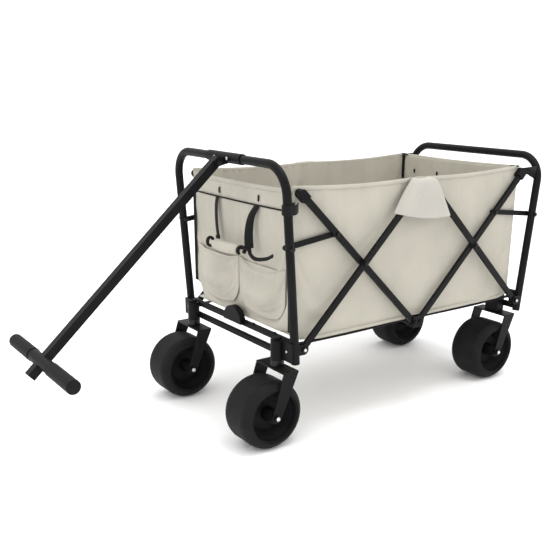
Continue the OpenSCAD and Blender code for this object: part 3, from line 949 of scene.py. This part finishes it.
def front_screws():
    """Small heads on the front upper crossbar, the handle's pivot and the swivel stems."""
    forward = (0, -1, 0)
    bar_z = FOOT.z + 23 * MM
    for x in (80, 177):
        bolt(f"crossbar_screw_{x}", (x * MM, FOOT_Y - 3 * MM, bar_z), (0, -0.3, 1),
             4.5 * MM, 4 * MM, "front_frame", PLASTIC)
    pitch = pivot("handle_pitch")
    for side, sign in SIDES:
        bolt(f"clamp_screw_{side}", (sign * 30 * MM, pitch.y + 13.6 * MM, pitch.z + 9 * MM), forward,
             4.2 * MM, 2 * MM, "front_frame")
        swivel = pivot(f"swivel_{side}")
        bolt(f"bracket_screw_{side}", (swivel.x + sign * 36 * MM, FOOT_Y - 17 * MM, FOOT.z - 4 * MM),
             forward, 3.6 * MM, 2 * MM, "front_frame")


# From the corner pivot to the short link's rivet, along the falling link
RIVET_REACH = 154 * MM
# From the middle of a wheel to the bolt heads on its fork
AXLE_HALF = 67 * MM


def bolts():
    """Heads on every pivot of the two scissors and on the wheels' axles."""
    out_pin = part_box("front_pins")[1][0]
    cross_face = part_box("rising_link_front_right")[1][0]
    brace_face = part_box("falling_link_front_right")[1][0]
    for side, sign in SIDES:
        outward = Vector((sign, 0, 0))
        for end in ENDS:
            foot = FOOT if end == "front" else Vector((FOOT.x, 2 * MID_Y - FOOT.y, FOOT.z))
            cross = CROSS_FRONT if end == "front" else CROSS_REAR
            bolt(f"foot_bolt_{end}_{side}", mirrored((LEG_X + 14.5 * MM, foot.y, foot.z), sign), outward,
                 4.2 * MM, 2.6 * MM, f"{end}_frame")
            bolt(f"crossing_bolt_{end}_{side}", mirrored((cross_face, cross.y, cross.z), sign), outward,
                 4.2 * MM, 2.2 * MM, f"rising_{end}_{side}", DARK_BOLT)
            leg = pivot(f"brace_{end}_{side}_turn")
            bolt(f"brace_bolt_{end}_{side}", Vector((sign * out_pin, leg.y, leg.z)), outward,
                 3.8 * MM, 2.0 * MM, f"{end}_frame", DARK_BOLT)
            slope = RIVET_REACH / math.sqrt(2)
            rivet = (brace_face, foot.y - AWAY[end] * slope, HUB_Z - slope)
            bolt(f"brace_rivet_{end}_{side}", mirrored(rivet, sign), outward,
                 4.0 * MM, 2.2 * MM, f"falling_{end}_{side}", DARK_BOLT)
            axle = pivot(f"spin_{end}_{side}")
            body = f"caster_{side}" if end == "front" else "rear_frame"
            for face in (-1, 1):
                bolt(f"axle_bolt_{end}_{side}_{'in' if face * sign < 0 else 'out'}",
                     axle + Vector((face * AXLE_HALF, 0, 0)), (face, 0, 0), 5.5 * MM, 3.0 * MM, body)


bolts()
front_screws()

# ---------- floor, light and camera ----------


def studio():
    floor = new_object("studio_floor", [(-9, -9, 0), (9, -9, 0), (9, 9, 0), (-9, 9, 0)], [(0, 1, 2, 3)],
                       floor_material(), smooth=False)
    world = bpy.data.worlds.new("studio_sky")
    bpy.context.scene.world = world
    world.use_nodes = True
    sky(world.node_tree.nodes, world.node_tree.links)
    lamp("key_light", (0.9, 0.3, 3.8), 0.9, 26)
    lamp("front_light", (0.4, -3.0, 1.8), 1.6, 6)
    bpy.context.scene.view_settings.view_transform = "Standard"


def sky(nodes, links):
    """White at the horizon and brighter overhead, like a large soft box above the cart."""
    place = add(nodes, "ShaderNodeTexCoord")
    split = add(nodes, "ShaderNodeSeparateXYZ")
    links.new(place.outputs["Generated"], split.inputs["Vector"])
    height = joined(nodes, links, "MAXIMUM", split.outputs["Z"], 0.0)
    overhead = joined(nodes, links, "MULTIPLY", joined(nodes, links, "POWER", height, 1.5), 0.85)
    links.new(joined(nodes, links, "ADD", overhead, 1.02), nodes["Background"].inputs["Strength"])
    nodes["Background"].inputs["Color"].default_value = (1, 1, 1, 1)


def floor_material():
    mat, nodes, links, shader = material("studio_floor")
    vector = coordinates(nodes, links)
    cloudy = noise_map(nodes, links, vector, 3.0)
    tone = blend_colours(nodes, links, cloudy, (0.985, 0.985, 0.985), (0.99, 0.99, 0.99))
    links.new(tone, shader.inputs["Base Color"])
    shader.inputs["Roughness"].default_value = 0.9
    shader.inputs["Specular IOR Level"].default_value = 0.1
    return mat


def lamp(name, place, size, power):
    """Square area light aimed at the cart."""
    data = bpy.data.lights.new(name, "AREA")
    data.size = size
    data.energy = power
    obj = bpy.data.objects.new(name, data)
    bpy.context.scene.collection.objects.link(obj)
    obj.location = place
    aim = Vector((0, 0, 0.35)) - Vector(place)
    obj.rotation_euler = aim.to_track_quat("-Z", "Y").to_euler()


def camera():
    """Seen from the front right, a little above, as a long lens sees it."""
    data = bpy.data.cameras.new("camera")
    obj = bpy.data.objects.new("camera", data)
    bpy.context.scene.collection.objects.link(obj)
    target = Vector((0.012, FOOT_Y + 0.0993, 0.2313))
    azimuth, elevation, distance = math.radians(55.24), math.radians(17.55), 2.224
    back = Vector((math.sin(azimuth) * math.cos(elevation), -math.cos(azimuth) * math.cos(elevation),
                   math.sin(elevation)))
    obj.location = target + back * distance
    obj.rotation_euler = (-back).to_track_quat("-Z", "Y").to_euler()
    data.sensor_width = 36.0
    data.lens = 52.0
    data.shift_x = 0.0078
    data.shift_y = 0.0948
    bpy.context.scene.camera = obj


studio()
camera()
